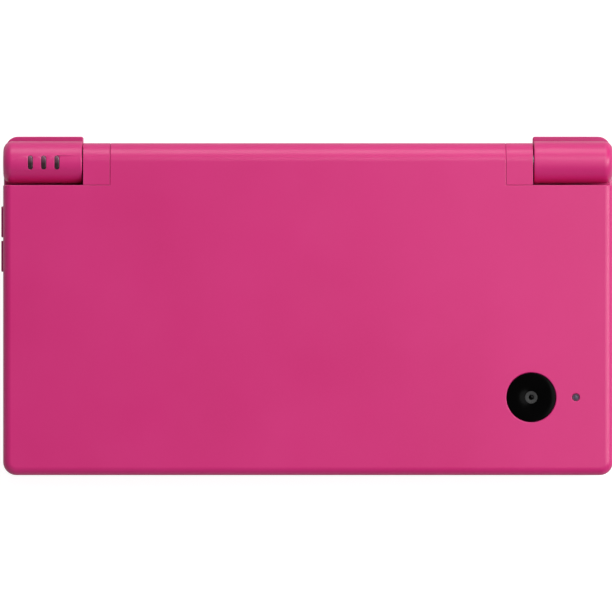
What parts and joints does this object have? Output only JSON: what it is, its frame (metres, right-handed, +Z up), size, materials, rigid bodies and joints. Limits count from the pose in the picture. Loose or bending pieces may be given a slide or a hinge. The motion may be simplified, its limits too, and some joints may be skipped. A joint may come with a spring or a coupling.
{
  "type": "clamshell handheld game console",
  "caption": "Pink clamshell handheld game console with two screens, hinged lid, direction pad, face buttons, shoulder buttons, volume keys, stylus and an outer camera.",
  "frame": {"origin": "middle of the footprint of the closed console, on the plane that its feet rest on", "axes": "+X to the player's right, +Y to the hinge at the back, +Z up through the closed lid"},
  "size_m": [0.1377, 0.0762, 0.0189],
  "materials": {
    "pink_casing": "satin pink moulding",
    "pink_key": "satin pink moulding, a shade darker",
    "control_grey": "fine matt moulding",
    "black_gloss": "polished black cover",
    "screen_glass": "dark glossy screen",
    "display_cell": "display cell",
    "black_plastic": "matt black moulding",
    "rubber_grey": "soft rubber",
    "bright_steel": "pressed steel",
    "board_green": "solder mask",
    "battery_wrap": "printed-free battery wrap",
    "smoked_lens": "smoked lens",
    "light_guide": "milky light guide",
    "copper_film": "flexible circuit film"
  },
  "bodies": {
    "base": {"base_bottom_shell": "pink_casing", "base_top_shell": "pink_casing", "battery_cover": "pink_casing", "battery_pack": "battery_wrap", "battery_cover_screws": "bright_steel", "case_screws": "bright_steel", "rubber_feet": "rubber_grey", "main_board": "board_green", "board_chips": "black_plastic", "radio_module": "bright_steel", "game_card_slot": "bright_steel", "sd_card_slot": "bright_steel", "sd_door_pin": "bright_steel", "charge_socket": "black_plastic", "headphone_jack": "black_plastic", "touch_panel": "screen_glass", "lower_display": "display_cell", "display_bracket": "bright_steel", "button_membranes": "rubber_grey", "volume_switch_board": "board_green", "shoulder_pins": "bright_steel", "shoulder_springs": "bright_steel", "shoulder_switches": "black_plastic", "indicator_windows": "smoked_lens", "indicator_board": "board_green", "hinge_sleeve_left": "bright_steel", "hinge_shaft_right": "bright_steel", "stylus_silo": "control_grey"},
    "lid": {"lid_outer_shell": "pink_casing", "lid_inner_shell": "pink_casing", "hinge_collar_left": "pink_casing", "hinge_collar_right": "pink_casing", "hinge_clutch": "bright_steel", "upper_window": "screen_glass", "upper_display": "display_cell", "speakers": "black_plastic", "camera_module": "black_plastic", "camera_window": "black_gloss", "camera_lens": "smoked_lens", "camera_light": "light_guide", "inner_camera": "black_plastic", "microphone": "bright_steel", "lid_screws": "bright_steel", "lid_bumpers": "rubber_grey", "display_ribbon": "copper_film"},
    "sd_door": {"sd_card_door": "pink_key"},
    "dpad": {"dpad": "control_grey"},
    "dpad_rocker": {"dpad_pivot": "rubber_grey"},
    "button_a": {"button_a": "control_grey"},
    "button_b": {"button_b": "control_grey"},
    "button_x": {"button_x": "control_grey"},
    "button_y": {"button_y": "control_grey"},
    "start_button": {"start_button": "control_grey"},
    "select_button": {"select_button": "control_grey"},
    "power_button": {"power_button": "control_grey"},
    "volume_up": {"volume_up_key": "pink_key"},
    "volume_down": {"volume_down_key": "pink_key"},
    "shoulder_left": {"shoulder_button_left": "pink_key"},
    "shoulder_right": {"shoulder_button_right": "pink_key"},
    "stylus": {"stylus": "black_plastic"}
  },
  "joints": [
    {"name": "lid_hinge", "type": "hinge", "parent": "base", "child": "lid", "pos_m": [0, 0.0322, 0.01415], "axis": [-1, 0, 0], "range_deg": [0, 155]},
    {"name": "dpad_tilt_front_back", "type": "hinge", "parent": "base", "child": "dpad_rocker", "pos_m": [-0.05175, 0.006, 0.00885], "axis": [1, 0, 0], "range_deg": [-2.5, 2.5], "stiffness_Nm_per_rad": 0.15},
    {"name": "dpad_tilt_left_right", "type": "hinge", "parent": "dpad_rocker", "child": "dpad", "pos_m": [-0.05175, 0.006, 0.00885], "axis": [0, 1, 0], "range_deg": [-2.5, 2.5], "stiffness_Nm_per_rad": 0.15},
    {"name": "button_a_press", "type": "slide", "parent": "base", "child": "button_a", "axis": [0, 0, -1], "range_m": [0, 0.0005], "stiffness_N_per_m": 800, "springref_m": -0.0002},
    {"name": "button_b_press", "type": "slide", "parent": "base", "child": "button_b", "axis": [0, 0, -1], "range_m": [0, 0.0005], "stiffness_N_per_m": 800, "springref_m": -0.0002},
    {"name": "button_x_press", "type": "slide", "parent": "base", "child": "button_x", "axis": [0, 0, -1], "range_m": [0, 0.0005], "stiffness_N_per_m": 800, "springref_m": -0.0002},
    {"name": "button_y_press", "type": "slide", "parent": "base", "child": "button_y", "axis": [0, 0, -1], "range_m": [0, 0.0005], "stiffness_N_per_m": 800, "springref_m": -0.0002},
    {"name": "start_press", "type": "slide", "parent": "base", "child": "start_button", "axis": [0, 0, -1], "range_m": [0, 0.0005], "stiffness_N_per_m": 800, "springref_m": -0.0002},
    {"name": "select_press", "type": "slide", "parent": "base", "child": "select_button", "axis": [0, 0, -1], "range_m": [0, 0.0005], "stiffness_N_per_m": 800, "springref_m": -0.0002},
    {"name": "power_press", "type": "slide", "parent": "base", "child": "power_button", "axis": [0, 0, -1], "range_m": [0, 0.0005], "stiffness_N_per_m": 800, "springref_m": -0.0002},
    {"name": "volume_up_press", "type": "slide", "parent": "base", "child": "volume_up", "axis": [1, 0, 0], "range_m": [0, 0.0004], "stiffness_N_per_m": 800, "springref_m": -0.0002},
    {"name": "volume_down_press", "type": "slide", "parent": "base", "child": "volume_down", "axis": [1, 0, 0], "range_m": [0, 0.0004], "stiffness_N_per_m": 800, "springref_m": -0.0002},
    {"name": "shoulder_right_press", "type": "hinge", "parent": "base", "child": "shoulder_right", "pos_m": [0.0527, 0.0339, 0.006], "axis": [0, 0, -1], "range_deg": [0, 4], "stiffness_Nm_per_rad": 0.1, "springref_deg": -2.86},
    {"name": "shoulder_left_press", "type": "hinge", "parent": "base", "child": "shoulder_left", "pos_m": [-0.0527, 0.0339, 0.006], "axis": [0, 0, 1], "range_deg": [0, 4], "stiffness_Nm_per_rad": 0.1, "springref_deg": -2.86},
    {"name": "stylus_slide", "type": "slide", "parent": "base", "child": "stylus", "axis": [1, 0, 0], "range_m": [0, 0.08]},
    {"name": "sd_door_open", "type": "hinge", "parent": "base", "child": "sd_door", "pos_m": [0.0679, 0.006, 0.0032], "axis": [0, 1, 0], "range_deg": [0, 95]}
  ]
}
